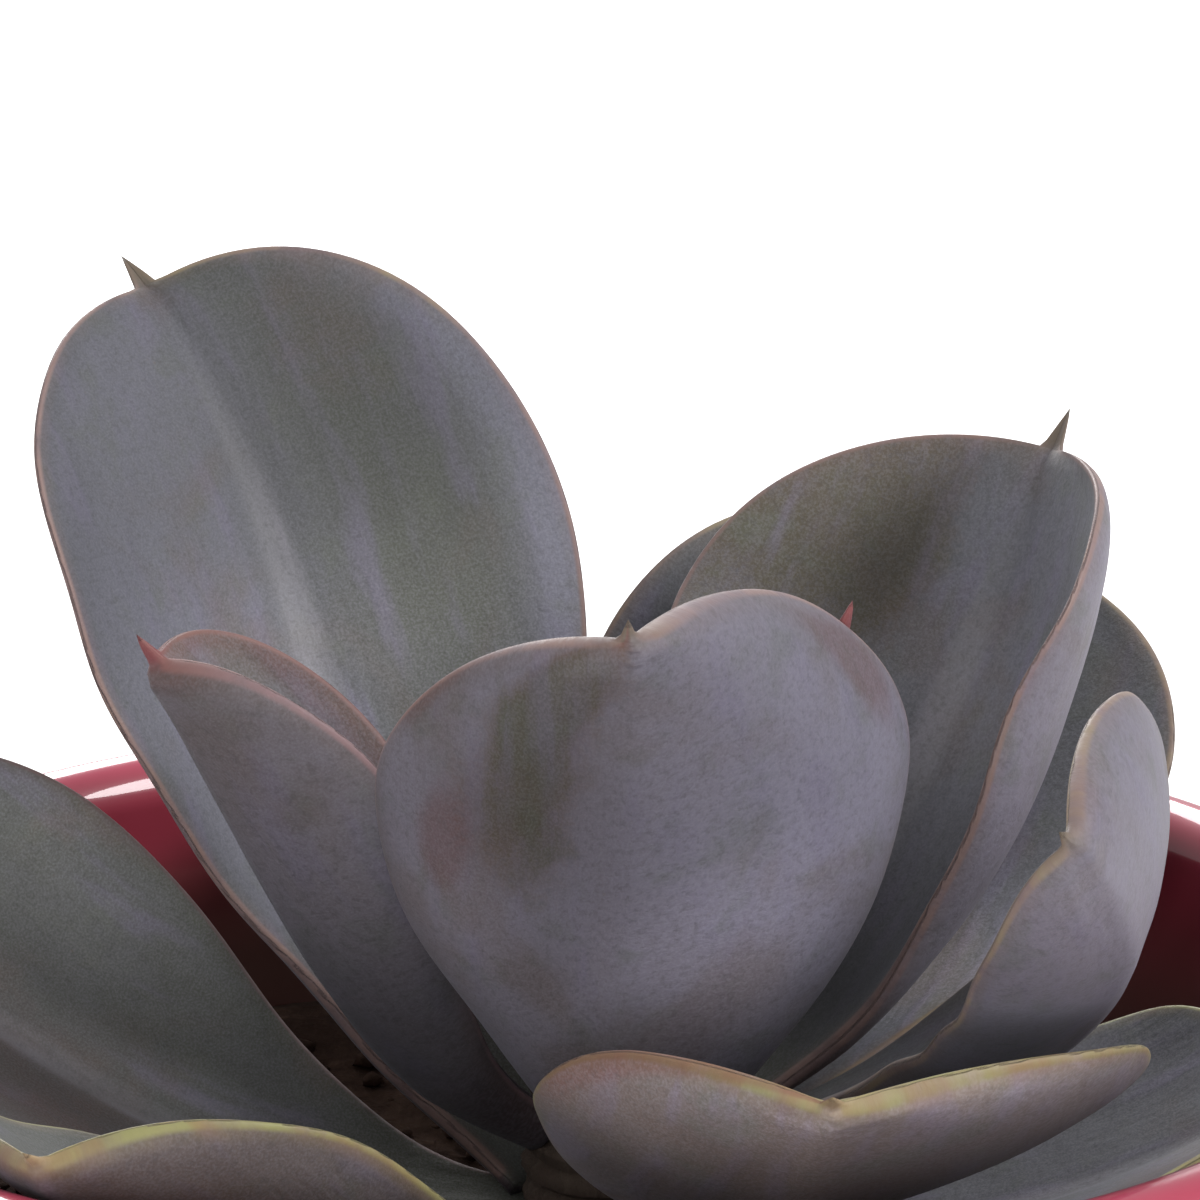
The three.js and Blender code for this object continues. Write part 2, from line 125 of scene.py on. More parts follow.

# A leaf's angles are in degrees and its lengths in millimetres, as in the part's own source.
# heading, twist: compass direction of its base, and the turn from there to its tip.
# climb: slope at the base, the middle and the tip. drop, out: place of its base, below the rim
# and out from the stem's axis. point: length of its spine.
# vee, cup, roll, each at the base and the tip: fold at the midrib, curve of the two wings, and
# lean to one side. tuck: further curve of the right wing. skew: how much wider the left wing is.
# marks: (layer, along, across, length, width, amount, face), with soft edges. Along runs from
# 0 at the base to 1 at the tip, and across from -1 at the right margin to 1 at the left one.
# Face is 1 for a mark on the upper face, -1 for one on the outside and 0 for one on both.
# Tone values and tone marks are partly painted light and painted shade: they brighten leaves, and
# parts of leaves, that lie in light and darken those that lie in shadow.
LEAVES = {
    "leaf_upper_back_left": dict(
        heading=141.4, twist=-7, climb=(35.9, 66.4, 39.1), length=84.4, width=52.1, drop=20.2,
        cup=(42.1, 25.6), vee=(8.1, 9.9), roll=(-21.8, -18.8), skew=0.01, point=4,
        green=0.1, tone=0.84,
        marks=[
            ("bloom", 0.6, 0.6, 0.5, 0.5, 0.3, 1), ("bloom", 0.70, -0.5, 0.35, 0.4, -0.7, 1),
            ("bloom", 0.55, -0.95, 0.4, 0.12, 0.9, 1), ("tone", 0.53, -0.2, 0.14, 0.9, 1.2, 1),
            ("tone", 0.55, -0.95, 0.4, 0.15, 0.4, 1), ("red", 0.98, 0.1, 0.06, 0.5, 0.45, 1),
            ("green", 0.9, -0.7, 0.1, 0.3, 0.4, 1), ("tone", 0.15, 0.0, 0.20, 1.5, 0.9, 1),
        ],
    ),
    "leaf_upper_back_right": dict(
        heading=40, twist=3, climb=(26, 51.5, 60.6), length=66.7, width=57.1, drop=14,
        cup=(43.5, 34.1), vee=(-8.9, 8.4), roll=(36.3, -3.5), tuck=62, skew=-0.06, point=4,
        green=0.1, tone=1.15,
        marks=[
            ("rub", 0.80, 0.75, 0.30, 0.50, 0.62, 1), ("rub", 0.78, 0.40, 0.12, 0.16, 0.4, 1),
            ("bloom", 0.75, -0.2, 0.3, 0.3, 0.2, 1), ("tone", 0.22, 0.0, 0.18, 1.2, -0.6, 1),
            ("tone", 0.76, 0.42, 0.16, 0.2, -0.7, 1), ("tone", 0.85, 0.95, 0.25, 0.3, 0.4, 1),
            ("tone", 0.62, 0.0, 0.14, 0.5, 0.6, 1),
        ],
    ),
    "leaf_upper_front": dict(
        heading=272.3, twist=-1.2, climb=(42, 68.2, 80.6), length=58.1, width=56.6, drop=14.4,
        cup=(58.9, 51.8), vee=(-10.7, 14.3), roll=(-4.4, 20.6), skew=0.21, point=1.8,
        green=0.1, tone=0.92,
        marks=[
            ("rub", 0.80, -0.40, 0.24, 0.30, 0.66, -1), ("rub", 0.98, -0.30, 0.08, 0.30, 0.6, -1),
            ("red", 0.67, -0.66, 0.11, 0.13, 0.9, -1), ("red", 0.77, 0.88, 0.13, 0.11, 0.9, -1),
            ("red", 0.88, -0.98, 0.1, 0.1, 0.7, -1), ("red", 1.0, -0.15, 0.05, 0.25, 0.6, -1),
            ("bloom", 0.6, 0.6, 0.4, 0.5, 0.35, -1), ("tone", 0.43, 0.3, 0.16, 0.45, 0.9, -1),
            ("tone", 0.76, -0.25, 0.32, 0.45, -0.24, -1),
            ("tone", 0.54, -0.64, 0.14, 0.3, 0.35, -1),
        ],
    ),
    "leaf_upper_left": dict(
        heading=199.2, twist=6.2, climb=(29.5, 59.9, 56.7), length=55.4, width=30.6, drop=13.6,
        cup=(101.9, 40.4), vee=(51.6, 16.8), roll=(-49.1, -7.2), skew=0.06,
        bloom=-0.2, tone=0.95,
        marks=[
            ("red", 0.7, 0.0, 0.5, 1.2, 0.45, 1), ("tone", 0.7, 0.0, 0.4, 1.2, 1.2, 1),
            ("red", 1.02, 0.0, 0.07, 2.0, 0.9, 0), ("red", 0.8, -0.95, 0.5, 0.2, 0.4, 0),
            ("tone", 0.30, 0.0, 0.25, 1.5, -0.5, -1),
        ],
    ),
    "leaf_lower_back": dict(
        heading=58, twist=-4, climb=(13, 44, 42), length=70, width=57, drop=21.5,
        cup=(33, 25), vee=(9, 8), roll=(8, 22),
        green=0.3, bloom=-0.1, tone=1.12, marks=[("tone", 0.38, -0.7, 0.18, 0.5, 1.6, 1)],
    ),
    "leaf_lower_left": dict(
        heading=181.7, twist=-9, climb=(-2, 31, 33.5), length=75.5, width=49.5, drop=23.3,
        cup=(48.5, 27.5), vee=(-4, 5.5), roll=(-9.5, -25.5),
        green=0.05, bloom=-0.5, tone=1.35,
        marks=[
            ("tone", 0.68, -0.85, 0.24, 0.5, 1.3, 1), ("tone", 0.50, 0.6, 0.5, 0.7, -0.4, 1),
            ("rub", 0.6, 0.4, 0.35, 0.5, 0.25, 1), ("red", 0.6, 0.4, 0.5, 1.0, 0.55, 1),
        ],
    ),
    "leaf_lower_front": dict(
        heading=297, twist=-23, climb=(-0.5, 28.5, 41.5), length=53.7, width=54, drop=17.3,
        cup=(26, 29), vee=(3.5, 7), roll=(-6.5, -5), skew=0.16, point=2,
        green=0.85, bloom=-0.6, tone=2.6,
        marks=[
            ("red", 0.85, -1.0, 0.25, 0.16, 0.9, 0), ("red", 0.9, 1.0, 0.15, 0.16, 0.5, 0),
            ("green", 1.0, 0.1, 0.12, 0.4, 0.4, 0), ("tone", 0.55, 0.0, 0.16, 1.5, -1.4, -1),
            ("tone", 0.97, -0.25, 0.12, 0.3, 0.8, -1),
        ],
    ),
    "leaf_lower_front_left": dict(
        heading=229.3, twist=4.5, climb=(-6, 24.5, 40), length=71, width=43, drop=23.5,
        cup=(31, 42.5), vee=(8, 6), roll=(-10, 13), skew=0.02, point=2,
        green=0.9, bloom=-0.7, tone=1.15,
        marks=[("red", 0.8, 0.3, 0.3, 0.6, 0.45, -1), ("rub", 0.85, 0.0, 0.3, 1.0, 0.5, -1)],
    ),
    "leaf_lower_right": dict(
        heading=341, twist=2, climb=(-2, 20, 38), length=54, width=46, drop=24,
        cup=(34, 24), vee=(10, 7), roll=(0, 12), skew=-0.12, point=2,
        green=0.9, bloom=-0.15, tone=1.45,
        marks=[("red", 0.8, -0.5, 0.4, 0.6, 0.45, 1)],
    ),
    "leaf_curled_right": dict(
        heading=353, twist=-115, climb=(20.2, 34.4, 41.6), length=82, width=36, drop=17.7,
        cup=(19.3, 46.5), vee=(14, 9.5), roll=(-23, 79.9), skew=0.25, point=2,
        green=0.25, bloom=0.05, tone=1.0,
        marks=[("rub", 0.9, 0.35, 0.10, 0.2, 0.35, -1)],
    ),
    "leaf_bottom_back": dict(
        heading=108, climb=(4, 20, 32), length=60, width=42, drop=22, cup=(40, 28),
        vee=(14, 10), green=0.8,
    ),
    "leaf_heart_right": dict(
        heading=346, climb=(64, 70, 72), length=42, width=26, drop=10, out=4.5,
        cup=(60, 40), point=4, red=0.9,
    ),
    "leaf_heart_back": dict(
        heading=110, climb=(60, 68, 72), length=27, width=20, drop=10, out=4.5,
        cup=(60, 40), bloom=0.1, red=0.4,
    ),
    "leaf_heart_left": dict(
        heading=222, climb=(62, 72, 76), length=25, width=18, drop=10, out=4.5,
        cup=(60, 45), point=4, bloom=0.1, red=0.4,
    ),
    "leaf_heart_front": dict(
        heading=269, climb=(80, 78, 80), length=31, width=22, drop=9.9, out=1.7,
        cup=(62, 41), thickness=2.4, bloom=0.1, red=0.4,
    ),
}
LEAF_DEFAULTS = dict(
    twist=0, thickness=3.6, out=8.4, vee=(20, 12), roll=(0, 0), tuck=0, skew=0, point=3,
    green=0.0, red=0.0, bloom=0.0, rub=0.0, tone=1.0, marks=(),
)

# ---------------------------------------------------------------- tints of the finishes
GREY_GREEN = (0.066, 0.072, 0.054)
LILAC = (0.115, 0.100, 0.150)
BROWN = (0.082, 0.060, 0.050)
MIDRIB = (0.158, 0.152, 0.164)
# Maroon of the outside at a leaf's base, darkened as painted shade.
MAROON_PETIOLE_AND_SHADE = (0.030, 0.017, 0.020)
GREEN_PETIOLE = (0.052, 0.054, 0.040)
SPECK = (0.10, 0.075, 0.06)
POWDER = (0.24, 0.235, 0.27)
DARK_GRAIN = (0.036, 0.036, 0.036)
RUSTY_EDGE = (0.190, 0.098, 0.048)
RED_EDGE = (0.165, 0.070, 0.052)
EDGE_BAND = (0.150, 0.078, 0.042)
BROWN_SPINE = (0.110, 0.086, 0.060)
STRAW_SPINE = (0.290, 0.205, 0.120)
RED_SPINE = (0.190, 0.050, 0.055)

DEEP_GLAZE = (0.205, 0.009, 0.028)
# Pale lip: thin glaze and a painted reflection.
THIN_GLAZE_AND_REFLECTION = (0.50, 0.080, 0.130)
GLAZE_PIT = (0.08, 0.008, 0.012)
DARK_CLAY = (0.26, 0.14, 0.085)
# Inner wall: painted shade with some dust.
DUST_AND_SHADE_WALL = (0.150, 0.085, 0.070)

DRY_SOIL = (0.125, 0.078, 0.055)
PALE_CRUMB = (0.17, 0.11, 0.07)
PALE_BARK = (0.075, 0.055, 0.042)
BARK_FIBRE = (0.115, 0.090, 0.070)

# ---------------------------------------------------------------- stage
# The camera's place and aim are in millimetres, its angles in degrees.
AIM_X, AIM_Y, AIM_Z = 0.0, 1.3, 117.8
CAMERA_AWAY = 700.0
CAMERA_ELEVATION = 18.79
CAMERA_LENS = 247.59
CAMERA_SENSOR = 36.0
CAMERA_LIFT = 2.505
CAMERA_TURN = -0.2589

# The lights are disks that face the rosette: (name, place, width), in metres.
LIGHTS = (
    ("key", (0.76, -0.24, 0.92), 0.55),
    ("back", (-0.22, 1.00, 0.62), 0.75),
    ("front", (-0.30, -1.20, 0.32), 0.60),
)
LIGHTS_AIM = (0.0, 0.0, 0.13)
FLOOR_SIZE = 30.0


# ---------------------------------------------------------------- settings
class PlantSettings(bpy.types.PropertyGroup):
    """Colours of the leaves and the stem."""

    upper_bloom: FloatVectorProperty(
        name="Upper bloom", description="Waxy bloom on the upper face of a leaf",
        default=(0.095, 0.094, 0.115), size=3, subtype="COLOR", min=0, max=1,
    )
    lower_bloom: FloatVectorProperty(
        name="Lower bloom", description="Waxy bloom on the outside of a leaf",
        default=(0.140, 0.130, 0.172), size=3, subtype="COLOR", min=0, max=1,
    )
    upper_flesh: FloatVectorProperty(
        name="Upper flesh", description="Grey-green skin under the bloom of the upper face",
        default=(0.056, 0.058, 0.049), size=3, subtype="COLOR", min=0, max=1,
    )
    lower_flesh: FloatVectorProperty(
        name="Lower flesh", description="Grey-brown skin under the bloom of the outside",
        default=(0.092, 0.076, 0.072), size=3, subtype="COLOR", min=0, max=1,
    )
    worn: FloatVectorProperty(
        name="Worn skin", description="Olive skin where the bloom is rubbed off",
        default=(0.060, 0.052, 0.036), size=3, subtype="COLOR", min=0, max=1,
    )
    blush: FloatVectorProperty(
        name="Blush", description="Red-brown of marks, margins and young spines",
        default=(0.086, 0.042, 0.038), size=3, subtype="COLOR", min=0, max=1,
    )
    pink_edge: FloatVectorProperty(
        name="Pink margin", description="Margin of the upper leaves",
        default=(0.190, 0.118, 0.122), size=3, subtype="COLOR", min=0, max=1,
    )
    green_edge: FloatVectorProperty(
        name="Green margin", description="Margin of the low leaves",
        default=(0.215, 0.208, 0.084), size=3, subtype="COLOR", min=0, max=1,
    )
    bark: FloatVectorProperty(
        name="Bark", description="Dry skin of the stem",
        default=(0.060, 0.040, 0.032), size=3, subtype="COLOR", min=0, max=1,
    )


class PotSettings(bpy.types.PropertyGroup):
    """Colours of the pot and what fills it."""

    glaze: FloatVectorProperty(
        name="Glaze", description="Colour of the glaze on the wall",
        default=(0.270, 0.014, 0.044), size=3, subtype="COLOR", min=0, max=1,
    )
    clay: FloatVectorProperty(
        name="Clay", description="Bare clay under the foot",
        default=(0.42, 0.24, 0.15), size=3, subtype="COLOR", min=0, max=1,
    )
    soil: FloatVectorProperty(
        name="Soil", description="Potting soil",
        default=(0.042, 0.023, 0.016), size=3, subtype="COLOR", min=0, max=1,
    )
    crumbs: IntProperty(
        name="Crumbs", description="Loose crumbs on the soil", default=900, min=0, max=3000,
    )
    crumb_size: FloatProperty(
        name="Crumb size", description="Half the width of a middling crumb",
        default=0.0011, min=0.0002, max=0.004, subtype="DISTANCE", unit="LENGTH",
    )


class StageSettings(bpy.types.PropertyGroup):
    """Floor, lights and camera."""

    floor: FloatVectorProperty(
        name="Floor", description="Colour of the floor",
        default=(0.92, 0.92, 0.92), size=3, subtype="COLOR", min=0, max=1,
    )
    sky: FloatProperty(
        name="Sky", description="Strength of the even light from all sides",
        default=0.66, min=0, max=4, subtype="FACTOR",
    )
    key: FloatProperty(
        name="Key light", description="Power of the large light above the right",
        default=12.0, min=0, max=400, subtype="POWER", unit="POWER",
    )
    back: FloatProperty(
        name="Back light", description="Power of the light behind the left",
        default=13.0, min=0, max=400, subtype="POWER", unit="POWER",
    )
    front: FloatProperty(
        name="Front light", description="Power of the soft light beside the camera",
        default=7.0, min=0, max=400, subtype="POWER", unit="POWER",
    )
    lens: FloatProperty(
        name="Lens", description="Focal length of the camera",
        default=CAMERA_LENS, min=20, max=400, subtype="DISTANCE_CAMERA", unit="CAMERA",
    )


# ---------------------------------------------------------------- shader maths
class Value:
    """A socket that takes part in Python expressions."""

    def __init__(self, finish, socket):
        self.finish = finish
        self.socket = socket

    def math(self, operation, *numbers):
        return self.finish.node("ShaderNodeMath", {"operation": operation}, numbers)

    def __add__(self, other):
        return self.math("ADD", self, other)

    def __radd__(self, other):
        return self.math("ADD", other, self)

    def __sub__(self, other):
        return self.math("SUBTRACT", self, other)

    def __rsub__(self, other):
        return self.math("SUBTRACT", other, self)

    def __mul__(self, other):
        return self.math("MULTIPLY", self, other)

    def __rmul__(self, other):
        return self.math("MULTIPLY", other, self)

    def __abs__(self):
        return self.math("ABSOLUTE", self)

    def clipped(self):
        return self.math("MAXIMUM", self.math("MINIMUM", self, 1.0), 0.0)

    def between(self, low, high, first=0.0, last=1.0):
        """Goes smoothly from first to last while the value goes from low to high."""
        settings = {"interpolation_type": "SMOOTHSTEP", "clamp": True}
        return self.finish.node("ShaderNodeMapRange", settings, (self, low, high, first, last))


class Finish:
    """One material, built node by node."""

    def __init__(self, name):
        self.material = bpy.data.materials.new(name)
        self.material.use_nodes = True
        self.tree = self.material.node_tree
        self.tree.nodes.clear()
        self.output = self.tree.nodes.new("ShaderNodeOutputMaterial")
        self.shader = self.tree.nodes.new("ShaderNodeBsdfPrincipled")
        self.tree.links.new(self.shader.outputs[0], self.output.inputs["Surface"])

    def put(self, socket, value):
        """Links a value into a socket, or sets the socket to a plain number or colour."""
        if isinstance(value, Value):
            self.tree.links.new(value.socket, socket)
        elif hasattr(value, "__len__") and len(socket.default_value) > len(value):
            socket.default_value = (*value, 1.0)
        else:
            socket.default_value = value

    def node(self, kind, settings=None, sockets=(), output=0):
        """Adds a node. Settings come first, then the values or links of its sockets."""
        made = self.tree.nodes.new(kind)
        for key, value in (settings or {}).items():
            setattr(made, key, value)
        named = sockets.items() if isinstance(sockets, dict) else enumerate(sockets)
        for key, value in named:
            self.put(made.inputs[key], value)
        return Value(self, made.outputs[output])

    def mix(self, share, first, second, blend="MIX"):
        """Mixes two colours."""
        settings = {"data_type": "RGBA", "blend_type": blend, "clamp_factor": True}
        return self.node("ShaderNodeMix", settings, {0: share, 6: first, 7: second}, 2)

    def attribute(self, name, output=2):
        """A layer of the mesh: output 2 gives its number, output 1 its vector."""
        return self.node("ShaderNodeAttribute", {"attribute_name": name}, (), output)

    def place(self, scale=(1, 1, 1)):
        """The point on the piece, in its own frame."""
        at = self.node("ShaderNodeTexCoord", {}, (), 3)
        return self.node("ShaderNodeMapping", {}, {"Vector": at, "Scale": scale})

    def noise(self, at, scale, detail=3.0, roughness=0.55, distortion=0.0):
        return self.node("ShaderNodeTexNoise", {}, {
            "Vector": at, "Scale": scale, "Detail": detail, "Roughness": roughness,
            "Distortion": distortion,
        })

    def cells(self, at, scale):
        return self.node("ShaderNodeTexVoronoi", {}, {"Vector": at, "Scale": scale})

    def bump(self, height, distance, strength=1.0, under=None):
        sockets = {"Strength": strength, "Distance": distance, "Height": height}
        if under is not None:
            sockets["Normal"] = under
        return self.node("ShaderNodeBump", {}, sockets)

    def surface(self, **sockets):
        """Sets the shader's sockets, with spaces in their names written as underscores."""
        for key, value in sockets.items():
            self.put(self.shader.inputs[key.replace("_", " ")], value)
        return self.material


# ---------------------------------------------------------------- materials
def leaf_finish(look):
    """Thick leaf skin with waxy bloom, worn places, a coloured margin and a midrib.

    Edge is the distance to the margin in millimetres, face goes from -1 on the outside to 1 on
    the upper face, and blade is the place on the leaf laid flat, in millimetres.
    """
    f = Finish("waxy_leaf")
    along, across, edge, face = (f.attribute(n) for n in ("along", "across", "edge", "face"))
    green, red, bloom, rub, tone = (f.attribute(name) for name in SKIN_LAYERS)
    blade = f.attribute("blade", 1)
    stretched = f.node("ShaderNodeMapping", {}, {"Vector": blade, "Scale": (1.0, 0.22, 1.0)})
    clouds = f.noise(blade, 0.055, 4.0, 0.55, 0.4)
    patches = f.noise(blade, 0.17, 4.0, 0.6, 0.3)
    streaks = f.noise(stretched, 0.3, 3.0)
    grain = f.noise(blade, 1.5, 4.0, 0.7)
    powder = f.noise(blade, 4.2, 2.0, 0.6)
    upper = face.between(-0.12, 0.12)

    # Bloom is thin at the base, along the margin and where it was rubbed off.
    worn = (rub + (patches - 0.5) * 0.6 + (grain - 0.5) * 0.4).between(0.24, 0.66)
    cover = 0.66 + bloom + (clouds - 0.5) * 0.55 + (patches - 0.5) * 0.4 + (streaks - 0.5) * 0.3
    cover = cover + (grain - 0.5) * 0.3 - edge.between(0.5, 2.6, 0.18, 0.0)
    cover = (cover - worn * 0.8).clipped()
    flesh = f.mix(upper, tuple(look.lower_flesh), tuple(look.upper_flesh))
    wax = f.mix(upper, tuple(look.lower_bloom), tuple(look.upper_bloom))
    colour = f.mix(cover, f.mix(worn, flesh, tuple(look.worn)), wax)

    # The hue wanders between lilac, grey-green and brown.
    colour = f.mix(patches.between(0.50, 0.70) * 0.42, colour, GREY_GREEN)
    colour = f.mix(streaks.between(0.50, 0.72) * 0.40, colour, LILAC)
    colour = f.mix(clouds.between(0.50, 0.34) * 0.42, colour, BROWN)
    mark = worn * (1 - worn) * 0.6
    mark = mark + (red + (patches - 0.5) * 0.5).between(0.25, 0.75) * 0.62
    colour = f.mix(mark, colour, tuple(look.blush))

    # Pale midrib on the upper face and green petiole; on the outside a maroon petiole, made very
    # dark near the stem as painted shade.
    broad = abs(across) - along.between(0.15, 0.85, 0.05, 0.0)
    rib = broad.between(0.02, 0.09, 1.0, 0.0) * upper * along.between(0.95, 0.7)
    colour = f.mix(rib * streaks.between(0.3, 0.7, 0.3, 0.62), colour, MIDRIB)
    petiole_and_shade = f.mix(upper, MAROON_PETIOLE_AND_SHADE, GREEN_PETIOLE)
    colour = f.mix(along.between(0.04, 0.28, 0.85, 0.0), colour, petiole_and_shade)

    # Fine specks and powdery grain.
    specks = f.cells(blade, 0.42).between(0.045, 0.10, 0.30, 0.0) * clouds.between(0.5, 0.62)
    colour = f.mix(specks, colour, SPECK)
    colour = f.mix(powder.between(0.36, 0.68, 0.0, 0.15), colour, POWDER)
    colour = f.mix(grain.between(0.54, 0.30, 0.0, 0.30), colour, DARK_GRAIN)
    # Painted light and shade: the tone layer makes whole leaves, and parts of them, brighter or
    # darker.
    colour = f.mix(1.0, colour, tone, "MULTIPLY")

    # The margin: a thin, broken line over a duller band.
    hue = (green + (patches - 0.5) * 1.3 * green.between(0.0, 0.3)).clipped()
    rim = f.mix(hue, tuple(look.pink_edge), tuple(look.green_edge))
    rusty = streaks.between(0.46, 0.66) * green.between(0.2, 0.8, 0.15, 0.5)
    rim = f.mix(rusty, rim, RUSTY_EDGE)
    rim = f.mix(red.between(0.2, 0.9) * 0.75, rim, RED_EDGE)
    band = edge.between(0.3, 1.7, 1.0, 0.0) * streaks.between(0.3, 0.65, 0.25, 0.75)
    band = band * green.between(0.1, 0.9, 0.22, 0.72)
    colour = f.mix(band, colour, f.mix(0.55, rim, EDGE_BAND))
    line = edge.between(0.16, 0.55, 1.0, 0.0) * patches.between(0.32, 0.56, 0.35, 0.9)
    colour = f.mix(line, colour, rim)

    # The spine, past the blade's end.
    spine = f.mix(green.between(0.2, 0.6), BROWN_SPINE, STRAW_SPINE)
    spine = f.mix(red.between(0.3, 0.9), spine, RED_SPINE)
    colour = f.mix(along.between(0.985, 1.015, 0.0, 0.8), colour, spine)

    shine = 0.60 - worn * 0.14 - line * 0.10 + (grain - 0.5) * 0.2
    relief = f.bump(streaks + clouds * 0.8 + patches * 0.5, 0.00030, 0.75)
    relief = f.bump(grain + powder * 0.4, 0.00007, 0.7, relief)
    return f.surface(
        Base_Color=colour, Roughness=shine, Normal=relief, Specular_IOR_Level=0.24,
        Sheen_Weight=0.06, Sheen_Roughness=0.55, Sheen_Tint=(0.80, 0.82, 0.95),
    )


def glaze_finish(look):
    """Glossy crimson glaze over clay, paler on the lip from thin glaze and a painted reflection,
    and deeper where it ran down.

    Heights and places are in metres. The layer named inside is 1 on the inner wall, where painted
    shade with some dust turns the glaze browner further down.
    """
    f = Finish("crimson_glaze")
    at = f.place()
    height = f.node("ShaderNodeSeparateXYZ", {}, (at,), 2)
    runs = f.noise(f.place((1, 1, 0.30)), 34.0, 3.0, 0.5, 0.3)
    clouds = f.noise(at, 26.0, 4.0, 0.6)
    fine = f.noise(at, 420.0, 2.0)
    pits = f.cells(at, 210.0).between(0.05, 0.12, 1.0, 0.0) * clouds.between(0.52, 0.62)

    deep = (clouds * 0.6 + runs * 0.6).between(0.45, 0.80)
    colour = f.mix(deep, tuple(look.glaze), DEEP_GLAZE)
    # Paler band on top of the lip: thin glaze, and a painted reflection of the sky.
    thin_lip_and_reflection = height.between(0.1135, 0.1182) * clouds.between(0.3, 0.7, 0.4, 1.0)
    colour = f.mix(thin_lip_and_reflection * 0.5, colour, THIN_GLAZE_AND_REFLECTION)
    colour = f.mix(pits * 0.5, colour, GLAZE_PIT)
    bare = (height + (runs - 0.5) * 0.0022).between(0.0014, 0.0022, 1.0, 0.0)
    clay = f.mix(fine.between(0.3, 0.7, 0.0, 0.5), tuple(look.clay), DARK_CLAY)
    colour = f.mix(bare, colour, clay)
    # Painted shade inside the pot, with some dust: the inner wall turns duller and browner further
    # down.
    dust_and_shade = f.attribute("inside") * height.between(0.1125, 0.0960, 0.25, 1.0)
    colour = f.mix(dust_and_shade * clouds.between(0.2, 0.5, 0.75, 0.92), colour, DUST_AND_SHADE_WALL)

    relief = f.bump(runs + clouds * 0.6 - pits * 0.5, 0.00028, 0.45)
    relief = f.bump(fine, 0.00003, 0.25, relief)
    return f.surface(
        Base_Color=colour, Roughness=bare * 0.45 + 0.30 + (clouds - 0.5) * 0.06, Normal=relief,
        Coat_Weight=(1 - bare) * 0.85, Coat_Roughness=0.035, Coat_IOR=1.5,
        Specular_IOR_Level=0.15,
    )


def soil_finish(look):
    """Dark, crumbly soil, a little lighter where it has dried."""
    f = Finish("dark_soil")
    at = f.place()
    crumbs = f.noise(at, 360.0, 5.0, 0.65)
    damp = f.noise(at, 34.0, 3.0)
    lumps = f.cells(at, 520.0)
    dry = (damp * 0.7 + crumbs * 0.5).between(0.5, 0.8)
    colour = f.mix(dry, tuple(look.soil), DRY_SOIL)
    colour = f.mix(crumbs.between(0.62, 0.75) * 0.5, colour, PALE_CRUMB)
    relief = f.bump(crumbs + lumps * 0.6, 0.0009, 0.9)
    return f.surface(
        Base_Color=colour, Roughness=0.97 - crumbs * 0.14, Normal=relief, Specular_IOR_Level=0.25,
    )


def bark_finish(look):
    """Dry stem skin with fibres and old leaf scars."""
    f = Finish("dry_bark")
    fibres = f.noise(f.place((1, 1, 0.15)), 900.0, 4.0, 0.6)
    blotch = f.noise(f.place(), 150.0, 3.0)
    colour = f.mix(blotch.between(0.35, 0.7), tuple(look.bark), PALE_BARK)
    colour = f.mix(fibres.between(0.5, 0.75) * 0.6, colour, BARK_FIBRE)
    relief = f.bump(fibres + blotch * 0.5, 0.0006, 0.8)
    return f.surface(
        Base_Color=colour, Roughness=0.93 - blotch * 0.1, Normal=relief, Specular_IOR_Level=0.3,
    )


def floor_finish(look):
    """Plain matt floor."""
    f = Finish("pale_floor")
    return f.surface(Base_Color=tuple(look.floor), Roughness=0.9, Specular_IOR_Level=0.1)


# ---------------------------------------------------------------- mesh helpers
def deselect():
    if bpy.context.object and bpy.context.object.mode != "OBJECT":
        bpy.ops.object.mode_set(mode="OBJECT")
    bpy.ops.object.select_all(action="DESELECT")


def only(piece):
    """Makes a piece the selected and active one."""
    deselect()
    piece.select_set(True)
    bpy.context.view_layer.objects.active = piece
    return piece


def points_of(mesh):
    flat = np.empty(len(mesh.vertices) * 3)
    mesh.vertices.foreach_get("co", flat)
    return flat.reshape(-1, 3)


def move_points(mesh, points):
    mesh.vertices.foreach_set("co", np.ascontiguousarray(points, dtype=np.float32).ravel())
    mesh.update()


def number_layer(mesh, name, values):
    layer = mesh.attributes.new(name, "FLOAT", "POINT")
    layer.data.foreach_set("value", np.ascontiguousarray(values, dtype=np.float32))


def swell(at, layers):
    """Adds up soft noise, where each layer is (how fine, how high)."""
    return sum(noise.noise(at * fine) * high for fine, high in layers)


def clean(piece):
    """Closes seams and poles, turns the faces out and smooths them."""
    only(piece)
    bpy.ops.object.mode_set(mode="EDIT")
    bpy.ops.mesh.select_all(action="SELECT")
    bpy.ops.mesh.remove_doubles(threshold=0.000002)
    bpy.ops.mesh.normals_make_consistent(inside=False)
    bpy.ops.object.mode_set(mode="OBJECT")
    bpy.ops.object.shade_smooth()
    return piece


def turned(name, outline, sides):
    """Spins an outline of (radius, height) in millimetres around the pot's axis."""
    deselect()
    mesh = bpy.data.meshes.new(name)
    mesh.from_pydata(
        [(radius * MM, 0.0, height * MM) for radius, height in outline],
        [(i, i + 1) for i in range(len(outline) - 1)], [],
    )
    piece = bpy.data.objects.new(name, mesh)
    bpy.context.collection.objects.link(piece)
    only(piece)
    bpy.ops.object.mode_set(mode="EDIT")
    bpy.ops.mesh.select_all(action="SELECT")
    bpy.ops.mesh.spin(
        steps=sides, angle=2 * math.pi, center=(0, 0, 0), axis=(0, 0, 1), use_auto_merge=False,
    )
    bpy.ops.object.mode_set(mode="OBJECT")
    return clean(piece)


def dressed(piece, material, slot, *nodes):
    """Gives a finished piece its material, its body and the CAD nodes that it stands for."""
    piece.data.materials.clear()
    piece.data.materials.append(material)
    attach(piece, "root")
    if nodes:
        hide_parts(*nodes)
    return piece


def steps_between(start, end, steps):
    return [start + (end - start) * i / steps for i in range(steps + 1)]


